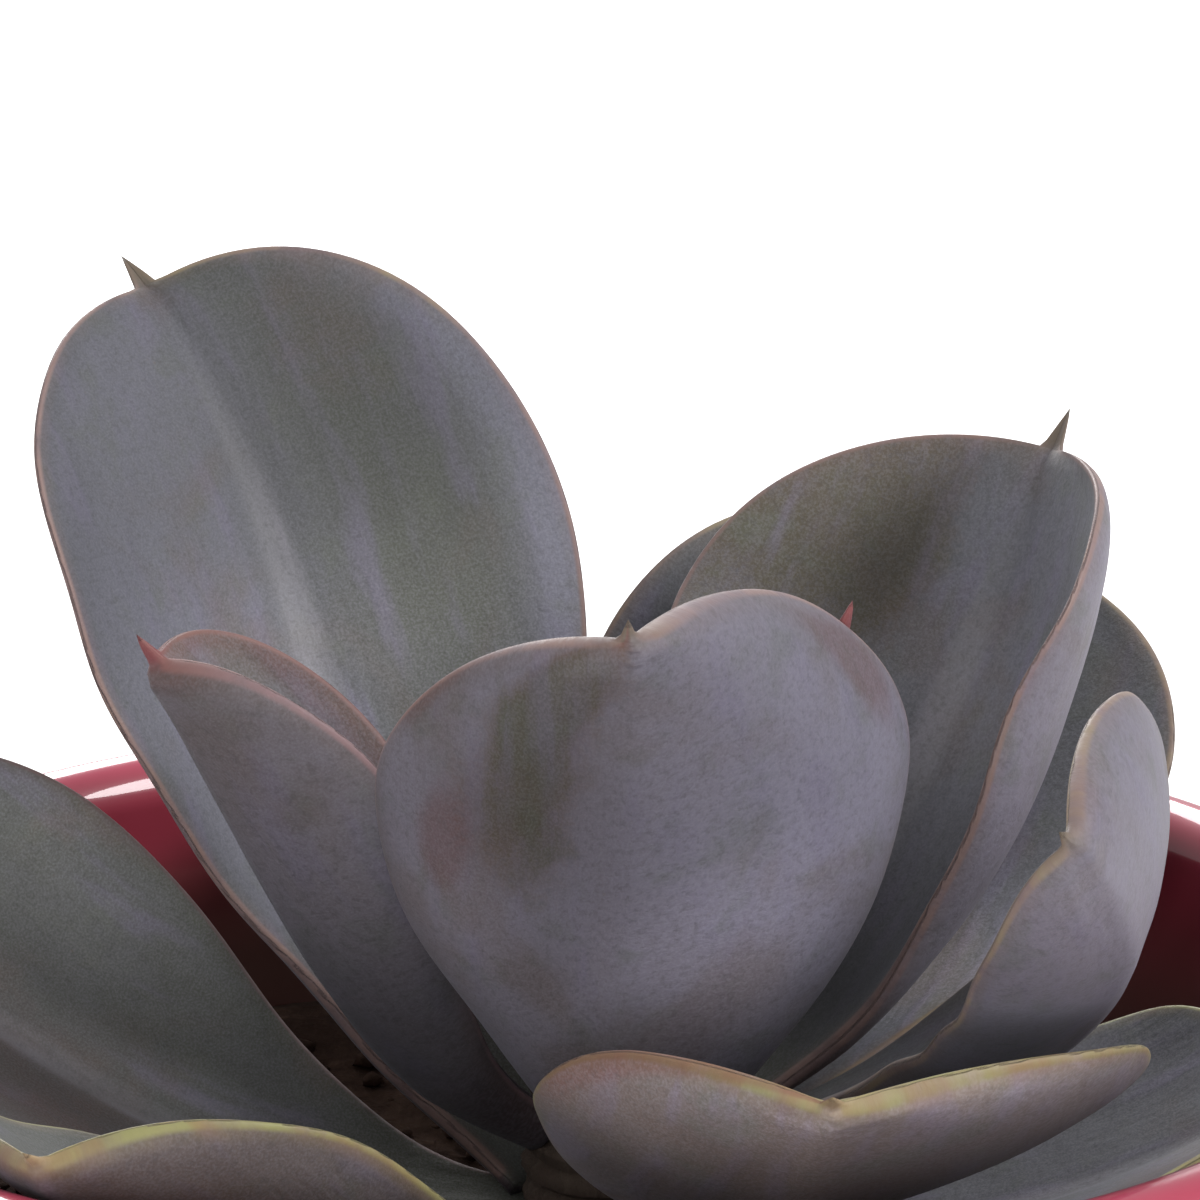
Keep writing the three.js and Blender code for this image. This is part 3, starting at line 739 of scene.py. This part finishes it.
def arc(radius, height, roll, start, end, steps):
    """Points round a circle of radius roll, from one angle in degrees to another."""
    angles = [math.radians(angle) for angle in steps_between(start, end, steps)]
    return [(radius + roll * math.cos(a), height + roll * math.sin(a)) for a in angles]


# ---------------------------------------------------------------- pot and soil
def outer_radius(height):
    slope = (SHOULDER_RADIUS - FOOT_RADIUS) / SHOULDER_HEIGHT
    return FOOT_RADIUS + slope * height + BULGE * math.sin(math.pi * height / SHOULDER_HEIGHT)


def inner_radius(height):
    return outer_radius(height) - WALL


def inside_share(points):
    """1 on the pot's inner wall, 0 on its outside, and in between over the lip."""
    radius, height = np.hypot(points[:, 0], points[:, 1]), points[:, 2]
    wall = np.array([outer_radius(min(level, SHOULDER_HEIGHT)) for level in height])
    return np.clip((wall - radius - 2.0) / 1.5, 0, 1) * (height > FLOOR_TOP - 1)


def pot_outline():
    """From under the foot up the outside, over the rolled lip and down to the pot's floor."""
    ring = FOOT_RADIUS - FOOT_WIDTH
    corner = inner_radius(FLOOR_TOP)
    outline = [(0, FOOT_RECESS), (ring * 0.5, FOOT_RECESS)]
    outline += [(ring + out, height) for out, height in FOOT_INNER_EDGE]
    outline += [(FOOT_RADIUS + out, height) for out, height in FOOT_OUTER_EDGE]
    for height in steps_between(FOOT_TOP, SHOULDER_HEIGHT, WALL_STEPS):
        outline.append((outer_radius(height), height))
    outline += arc(LIP_RADIUS, LIP_HEIGHT, LIP_ROLL, LIP_START, LIP_END, LIP_STEPS)
    for height in steps_between(SHOULDER_HEIGHT, FLOOR_TOP + FLOOR_CORNER, WALL_STEPS):
        outline.append((inner_radius(height), height))
    outline += [(corner - 1.0, FLOOR_TOP + 0.8), (corner - FLOOR_CORNER, FLOOR_TOP)]
    return outline + [(20, FLOOR_TOP), (0, FLOOR_TOP)]


def soil_height(radius):
    """Height of the soil between the stem and the wall."""
    return float(np.interp(radius, *zip(*SOIL_SLOPE)))


def soil_outline():
    """From the pot's floor up along its wall and over the soil's top to the middle."""
    bottom = FLOOR_TOP + 0.3
    outline = [(0, bottom), (inner_radius(FLOOR_TOP) - FLOOR_CORNER - 0.3, bottom)]
    for height in steps_between(FLOOR_TOP + FLOOR_CORNER, SOIL_AT_WALL - 1.5, SOIL_WALL_STEPS):
        outline.append((inner_radius(height) - SOIL_GAP, height))
    edge = inner_radius(SOIL_AT_WALL) - SOIL_GAP
    for i in range(SOIL_STEPS + 1):
        radius = edge * (1 - i / SOIL_STEPS)
        outline.append((radius, soil_height(radius)))
    return outline


def crumble(piece):
    """Gives the top of the soil its lumps, and keeps the rest as it is."""
    points = points_of(piece.data)
    for p in points:
        radius = math.hypot(p[0], p[1]) / MM
        if p[2] > (SOIL_AT_STEM - 1) * MM and radius < SOIL_LUMPS_END:
            fade = min(1.0, (SOIL_LUMPS_END + 0.4 - radius) / SOIL_LUMPS_FADE)
            p[2] += (swell(Vector(p), SOIL_LUMPS) * fade - SOIL_SETTLED) * MM
    move_points(piece.data, points)


def crumbs(count, size):
    """Loose crumbs that lie on the soil, one small mesh copied to all places."""
    draw = random.Random(CRUMB_SEED)
    deselect()
    bpy.ops.mesh.primitive_ico_sphere_add(subdivisions=1, radius=1.0)
    first = bpy.context.object
    shape = points_of(first.data)
    faces = [tuple(face.vertices) for face in first.data.polygons]
    bpy.data.objects.remove(first)
    points, polygons = [], []
    for _ in range(count):
        radius = CRUMB_REACH * math.sqrt(draw.random())
        turn = draw.uniform(0, 2 * math.pi)
        half = size / MM * draw.uniform(0.35, 1.0) ** 1.6 * 1.35
        x, y = radius * math.cos(turn), radius * math.sin(turn)
        if math.hypot(x - STEM_X, y - STEM_Y) < STEM_RADIUS + CRUMB_CLEARANCE:
            x += CRUMB_SHIFT
        z = soil_height(math.hypot(x, y)) + half * CRUMB_LIFT
        lumps = np.array([draw.uniform(0.72, 1.2) for _ in range(len(shape))])[:, None]
        flat = np.array([draw.uniform(0.8, 1.3), draw.uniform(0.8, 1.3), draw.uniform(0.55, 0.95)])
        spin = draw.uniform(0, 2 * math.pi)
        cos, sin = math.cos(spin), math.sin(spin)
        grain = shape * lumps * flat * half @ np.array([[cos, sin, 0], [-sin, cos, 0], [0, 0, 1]])
        polygons += [tuple(len(points) + i for i in face) for face in faces]
        points += [tuple(point) for point in (grain + (x, y, z)) * MM]
    mesh = bpy.data.meshes.new("soil_crumbs")
    mesh.from_pydata(points, [], polygons)
    piece = bpy.data.objects.new("soil_crumbs", mesh)
    bpy.context.collection.objects.link(piece)
    only(piece)
    bpy.ops.object.shade_smooth()
    return piece


def stem():
    """The short stem, with rings left by fallen leaves."""
    outline = [(0.0, STEM_FOOT)]
    for height in steps_between(STEM_FOOT, STEM_TOP, STEM_STEPS):
        ring = 0.35 * math.sin(height * 2.6) + 0.2 * math.sin(height * 5.9 + 1)
        crown = max(0.0, (height - (STEM_TOP - STEM_CROWN)) / STEM_CROWN)
        outline.append((STEM_RADIUS - 0.3 + ring - 1.6 * crown ** 2, height))
    outline.append((0.0, STEM_TOP))
    piece = turned("rough_stem", outline, STEM_SIDES)
    points = points_of(piece.data)
    for p in points:
        radius = math.hypot(p[0], p[1])
        if radius > 1e-6:
            p[:2] *= 1 + swell(Vector(p), BARK_SWELLS) * MM / radius
    points += np.array([STEM_X, STEM_Y, 0]) * MM
    move_points(piece.data, points)
    return piece


# ---------------------------------------------------------------- leaf
def through_three(values, t):
    """A smooth curve through three values, at t = 0, 0.5 and 1."""
    start, middle, end = values
    return start * (1 - t) * (1 - 2 * t) + 4 * middle * t * (1 - t) + end * t * (2 * t - 1)


def half_width(leaf, t):
    """Half the blade's width at t, where 1 is the blade's end and the spine runs on past it."""
    spine = leaf["point"] / leaf["length"]
    low = np.clip(t / WIDEST_AT, 0, 1)
    high = np.clip((t - WIDEST_AT) / (1 - WIDEST_AT), 0, 1)
    belly = BASE_SHARE + (1 - BASE_SHARE) * np.sin(math.pi / 2 * low ** BELLY_POWER)
    shoulder = (1 - high ** SHOULDER_POWER) ** (1 / SHOULDER_ROOT)
    half = leaf["width"] / 2 * np.where(t < WIDEST_AT, belly, shoulder)
    point = POINT_HALF_WIDTH * np.clip((1 + spine - t) / (spine + 0.05), 0, 1)
    return np.cbrt(half ** 3 + point ** 3)


def from_to(values, t):
    """Goes evenly from the first to the second value, in degrees, and gives radians."""
    return np.radians(values[0] + (values[1] - values[0]) * t)


def course(leaf, t):
    """Heading, climb and direction of the midrib at t."""
    heading = np.radians(leaf["heading"] + leaf["twist"] * t)
    climb = np.radians(through_three(leaf["climb"], t))
    forward = np.stack([
        np.cos(heading) * np.cos(climb), np.sin(heading) * np.cos(climb), np.sin(climb),
    ], 1)
    return heading, climb, forward


def midrib(leaf, t):
    """The midrib's points, summed in short steps from the base, and run on into the stem."""
    first, last = t.min(), t.max()
    fine = np.linspace(0, last, 1600)
    step = fine[1] - fine[0]
    _, _, forward = course(leaf, fine[:-1] + step / 2)
    run = np.vstack([np.zeros(3), np.cumsum(forward * step * leaf["length"], axis=0)])
    heading = math.radians(leaf["heading"])
    start = np.array([
        STEM_X + leaf["out"] * math.cos(heading),
        STEM_Y + leaf["out"] * math.sin(heading),
        POT_HEIGHT - leaf["drop"],
    ])
    points = np.stack([np.interp(t, fine, run[:, axis]) for axis in range(3)], 1) + start
    if first < 0:
        _, _, forward = course(leaf, np.zeros(1))
        points += np.minimum(t, 0)[:, None] * leaf["length"] * forward
    return points


def leaf_stations(leaf):
    """Rows that lie evenly along the leaf's outline, close together round its blunt end."""
    first = -INTO_STEM / leaf["length"]
    t = np.linspace(first, 1 + leaf["point"] / leaf["length"], 6000)
    half = half_width(leaf, np.maximum(t, 0))
    run = np.hypot(np.diff(t) * leaf["length"], np.diff(half) * 0.8)
    total = np.concatenate([[0], np.cumsum(run)])
    return np.interp(np.linspace(0, total[-1], LEAF_ROWS + 1), total, t)


def margin_distance(leaf, x, y):
    """Distance in millimetres from points of the flat blade to its outline."""
    t = np.linspace(0, 1 + leaf["point"] / leaf["length"], 260)
    rim_x, rim_y = half_width(leaf, t), t * leaf["length"]
    best = np.full(len(x), 1e9)
    for i in range(len(t) - 1):
        ax, ay = rim_x[i], rim_y[i]
        dx, dy = rim_x[i + 1] - ax, rim_y[i + 1] - ay
        share = np.clip(((x - ax) * dx + (y - ay) * dy) / (dx * dx + dy * dy + 1e-12), 0, 1)
        best = np.minimum(best, np.hypot(x - ax - share * dx, y - ay - share * dy))
    return best


def leaf_points(leaf, station, angle):
    """Bends a sphere's grid into the leaf. Station is the row and angle the place round it."""
    t = np.clip(station, 0, 1)
    heading, climb, forward = course(leaf, np.maximum(station, 0))
    up = np.stack([
        -np.cos(heading) * np.sin(climb), -np.sin(heading) * np.sin(climb), np.cos(climb),
    ], 1)
    left = np.cross(up, forward)
    roll = from_to(leaf["roll"], t)[:, None]
    face = up * np.cos(roll) - left * np.sin(roll)
    side = left * np.cos(roll) + up * np.sin(roll)

    across = np.cos(angle)
    reach = np.abs(across)
    hand = np.where(across < 0, -1.0, 1.0)
    half = half_width(leaf, np.maximum(station, 0)) * (1 + hand * leaf["skew"])
    vee = from_to(leaf["vee"], t)
    tuck = np.radians(leaf["tuck"]) * np.sin(math.pi * np.clip(0.1 + 0.9 * t, 0, 1))
    cup = from_to(leaf["cup"], t) + np.where(across < 0, tuck, 0.0)
    spread = (np.sin(vee + cup * reach) - np.sin(vee)) / cup
    lift = (np.cos(vee) - np.cos(vee + cup * reach)) / cup

    taper = np.minimum(1, half / (0.2 * leaf["width"])) ** 0.6
    thick = leaf["thickness"] * (1.15 - 0.5 * t) * taper
    tilt = vee * np.minimum(1, reach / 0.12) + cup * reach
    normal = face * np.cos(tilt)[:, None] - side * (hand * np.sin(tilt))[:, None]
    groove = GROOVE_SHARE * np.exp(-((reach / GROOVE_WIDTH) ** 2))
    lens = np.abs(np.sin(angle)) ** LENS_POWER
    height = np.where(np.sin(angle) > 0, UPPER_SHARE - groove, UPPER_SHARE - 1 - groove)
    middle = midrib(leaf, station)
    points = middle + side * (hand * half * spread)[:, None] + face * (half * lift)[:, None]
    return points + normal * (thick * lens * height)[:, None], normal


def uneven(leaf, seed, points, normal, t, across):
    """Soft swells on the blade and a slightly wavy margin, as on a grown leaf."""
    grown = np.zeros(len(points))
    for i, (u, v) in enumerate(zip(across * leaf["width"] / 2, t * leaf["length"])):
        grown[i] = swell(Vector((u * 0.075, v * 0.045, seed * 7.3)), LEAF_SWELLS)
    wavy = np.clip((np.abs(across) - 0.55) / 0.45, 0, 1) ** 2
    wavy = wavy * np.sin(t * leaf["length"] * 0.32 + seed * 2.1 + np.sign(across)) * WAVY_MARGIN
    fade = np.clip(t * 5, 0, 1) * np.clip((1.0 - t) * 9, 0, 1)
    return points + normal * ((grown + wavy) * fade)[:, None]


def skin_layers(leaf, station, across, face):
    """The layers of the leaf's skin: an even value each, with its soft-edged marks added."""
    layers = {name: np.full(len(station), float(leaf[name])) for name in SKIN_LAYERS}
    for name, place, aside, length, width, amount, on in leaf["marks"]:
        gap = ((station - place) / length) ** 2 + ((across - aside) / width) ** 2
        layers[name] += amount * np.exp(-gap) * (face * on >= -0.05)
    return layers


def make_leaf(node, settings, seed, material):
    """Bends a sphere into one leaf, writes the layers of its skin and dresses it."""
    leaf = {**LEAF_DEFAULTS, **settings}
    deselect()
    bpy.ops.mesh.primitive_uv_sphere_add(segments=LEAF_AROUND, ring_count=LEAF_ROWS, radius=1.0)
    piece = bpy.context.object
    piece.name = node.replace("leaf_", "blade_")
    mesh = piece.data
    mesh.name = piece.name
    ball = points_of(mesh)
    row = np.arccos(np.clip(-ball[:, 2], -1, 1)) / math.pi * LEAF_ROWS
    station = np.interp(row, np.arange(LEAF_ROWS + 1), leaf_stations(leaf))
    angle = np.arctan2(ball[:, 1], ball[:, 0])
    pole = np.abs(ball[:, 2]) > 1 - 1e-6
    across, face = np.where(pole, 0.0, np.cos(angle)), np.sin(angle)
    points, normal = leaf_points(leaf, station, angle)
    points[pole] = midrib(leaf, station[pole])
    points = uneven(leaf, seed, points, normal, np.clip(station, 0, 1), across)
    move_points(mesh, points * MM)

    flat_x = half_width(leaf, np.maximum(station, 0)) * across
    flat_y = station * leaf["length"]
    number_layer(mesh, "along", station)
    number_layer(mesh, "across", across)
    number_layer(mesh, "edge", margin_distance(leaf, np.abs(flat_x), flat_y))
    number_layer(mesh, "face", face)
    for name, values in skin_layers(leaf, station, across, face).items():
        number_layer(mesh, name, values)
    blade = np.stack([flat_x, flat_y, seed * NEXT_LEAF + np.sign(face) * NEXT_FACE], 1)
    layer = mesh.attributes.new("blade", "FLOAT_VECTOR", "POINT")
    layer.data.foreach_set("vector", np.ascontiguousarray(blade, dtype=np.float32).ravel())
    clean(piece)
    return dressed(piece, material, "leaf", node)


# ---------------------------------------------------------------- stage
def make_floor(look):
    deselect()
    bpy.ops.mesh.primitive_plane_add(size=FLOOR_SIZE)
    floor = bpy.context.object
    floor.name = "floor"
    floor.data.materials.append(floor_finish(look))


def make_camera(look):
    """The camera stands in front and looks down, a little past its aim as in the photograph."""
    climb = math.radians(CAMERA_ELEVATION)
    data = bpy.data.cameras.new("camera")
    data.lens, data.sensor_width = look.lens, CAMERA_SENSOR
    data.clip_start, data.clip_end = 0.01, 60.0
    camera = bpy.data.objects.new("camera", data)
    camera.location = (
        AIM_X * MM, (AIM_Y - CAMERA_AWAY * math.cos(climb)) * MM,
        (AIM_Z + CAMERA_AWAY * math.sin(climb)) * MM,
    )
    tilt = math.radians(90 - CAMERA_ELEVATION + CAMERA_LIFT)
    camera.rotation_euler = (tilt, 0, math.radians(CAMERA_TURN))
    bpy.context.collection.objects.link(camera)
    bpy.context.scene.camera = camera


def make_lights(look):
    """Three soft lights and an even white sky."""
    for name, place, width in LIGHTS:
        lamp = bpy.data.lights.new(f"{name}_light", "AREA")
        lamp.shape, lamp.size, lamp.energy = "DISK", width, getattr(look, name)
        light = bpy.data.objects.new(f"{name}_light", lamp)
        light.location = place
        towards = Vector(LIGHTS_AIM) - Vector(place)
        light.rotation_euler = towards.to_track_quat("-Z", "Y").to_euler()
        bpy.context.collection.objects.link(light)

    world = bpy.data.worlds.new("studio")
    world.use_nodes = True
    sky = world.node_tree.nodes["Background"].inputs
    sky["Color"].default_value = (1.0, 1.0, 1.0, 1.0)
    sky["Strength"].default_value = look.sky
    bpy.context.scene.world = world
    bpy.context.scene.view_settings.view_transform = "Standard"


# ---------------------------------------------------------------- operators
class SUCCULENT_OT_stage(bpy.types.Operator):
    """Makes the camera, the lights and the floor"""

    bl_idname = "succulent.make_stage"
    bl_label = "Stage"

    def execute(self, context):
        look = context.scene.succulent_stage
        make_floor(look)
        make_camera(look)
        make_lights(look)
        return {"FINISHED"}


class SUCCULENT_OT_pot(bpy.types.Operator):
    """Turns the glazed pot"""

    bl_idname = "succulent.make_pot"
    bl_label = "Pot"

    def execute(self, context):
        piece = turned("glazed_pot", pot_outline(), POT_SIDES)
        number_layer(piece.data, "inside", inside_share(points_of(piece.data) / MM))
        dressed(piece, glaze_finish(context.scene.succulent_pot), "glaze", "pot")
        return {"FINISHED"}


class SUCCULENT_OT_soil(bpy.types.Operator):
    """Fills the pot with soil and lays loose crumbs on it"""

    bl_idname = "succulent.make_soil"
    bl_label = "Soil"

    def execute(self, context):
        look = context.scene.succulent_pot
        material = soil_finish(look)
        piece = turned("potting_soil", soil_outline(), SOIL_SIDES)
        crumble(piece)
        dressed(piece, material, "earth", "soil")
        dressed(crumbs(look.crumbs, look.crumb_size), material, "earth")
        return {"FINISHED"}


class SUCCULENT_OT_stem(bpy.types.Operator):
    """Makes the short stem"""

    bl_idname = "succulent.make_stem"
    bl_label = "Stem"

    def execute(self, context):
        dressed(stem(), bark_finish(context.scene.succulent_plant), "bark", "stem")
        return {"FINISHED"}


class SUCCULENT_OT_leaves(bpy.types.Operator):
    """Makes all leaves of the rosette"""

    bl_idname = "succulent.make_leaves"
    bl_label = "Leaves"

    def execute(self, context):
        material = leaf_finish(context.scene.succulent_plant)
        for seed, (node, settings) in enumerate(LEAVES.items()):
            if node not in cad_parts:
                raise RuntimeError(f"the packed model has no node {node}")
            make_leaf(node, settings, seed, material)
        return {"FINISHED"}


class SUCCULENT_PT_sidebar(bpy.types.Panel):
    """Lists the pieces and their settings"""

    bl_idname = "SUCCULENT_PT_sidebar"
    bl_label = "Potted succulent"
    bl_space_type = "VIEW_3D"
    bl_region_type = "UI"
    bl_category = "Succulent"

    def draw(self, context):
        for operator in OPERATORS:
            self.layout.operator(operator.bl_idname)
        for settings in SETTINGS:
            group = getattr(context.scene, settings)
            box = self.layout.box()
            for name in group.__annotations__:
                box.prop(group, name)


OPERATORS = (
    SUCCULENT_OT_stage, SUCCULENT_OT_pot, SUCCULENT_OT_soil, SUCCULENT_OT_stem, SUCCULENT_OT_leaves,
)
SETTINGS = {
    "succulent_plant": PlantSettings,
    "succulent_pot": PotSettings,
    "succulent_stage": StageSettings,
}


def register():
    for made in (*SETTINGS.values(), *OPERATORS, SUCCULENT_PT_sidebar):
        bpy.utils.register_class(made)
    for name, group in SETTINGS.items():
        setattr(bpy.types.Scene, name, PointerProperty(type=group))


def unregister():
    for name in SETTINGS:
        delattr(bpy.types.Scene, name)
    for made in (SUCCULENT_PT_sidebar, *reversed(OPERATORS), *reversed(SETTINGS.values())):
        bpy.utils.unregister_class(made)


def main():
    register()
    bpy.ops.succulent.make_stage()
    bpy.ops.succulent.make_pot()
    bpy.ops.succulent.make_soil()
    bpy.ops.succulent.make_stem()
    bpy.ops.succulent.make_leaves()


if __name__ == "__main__":
    main()
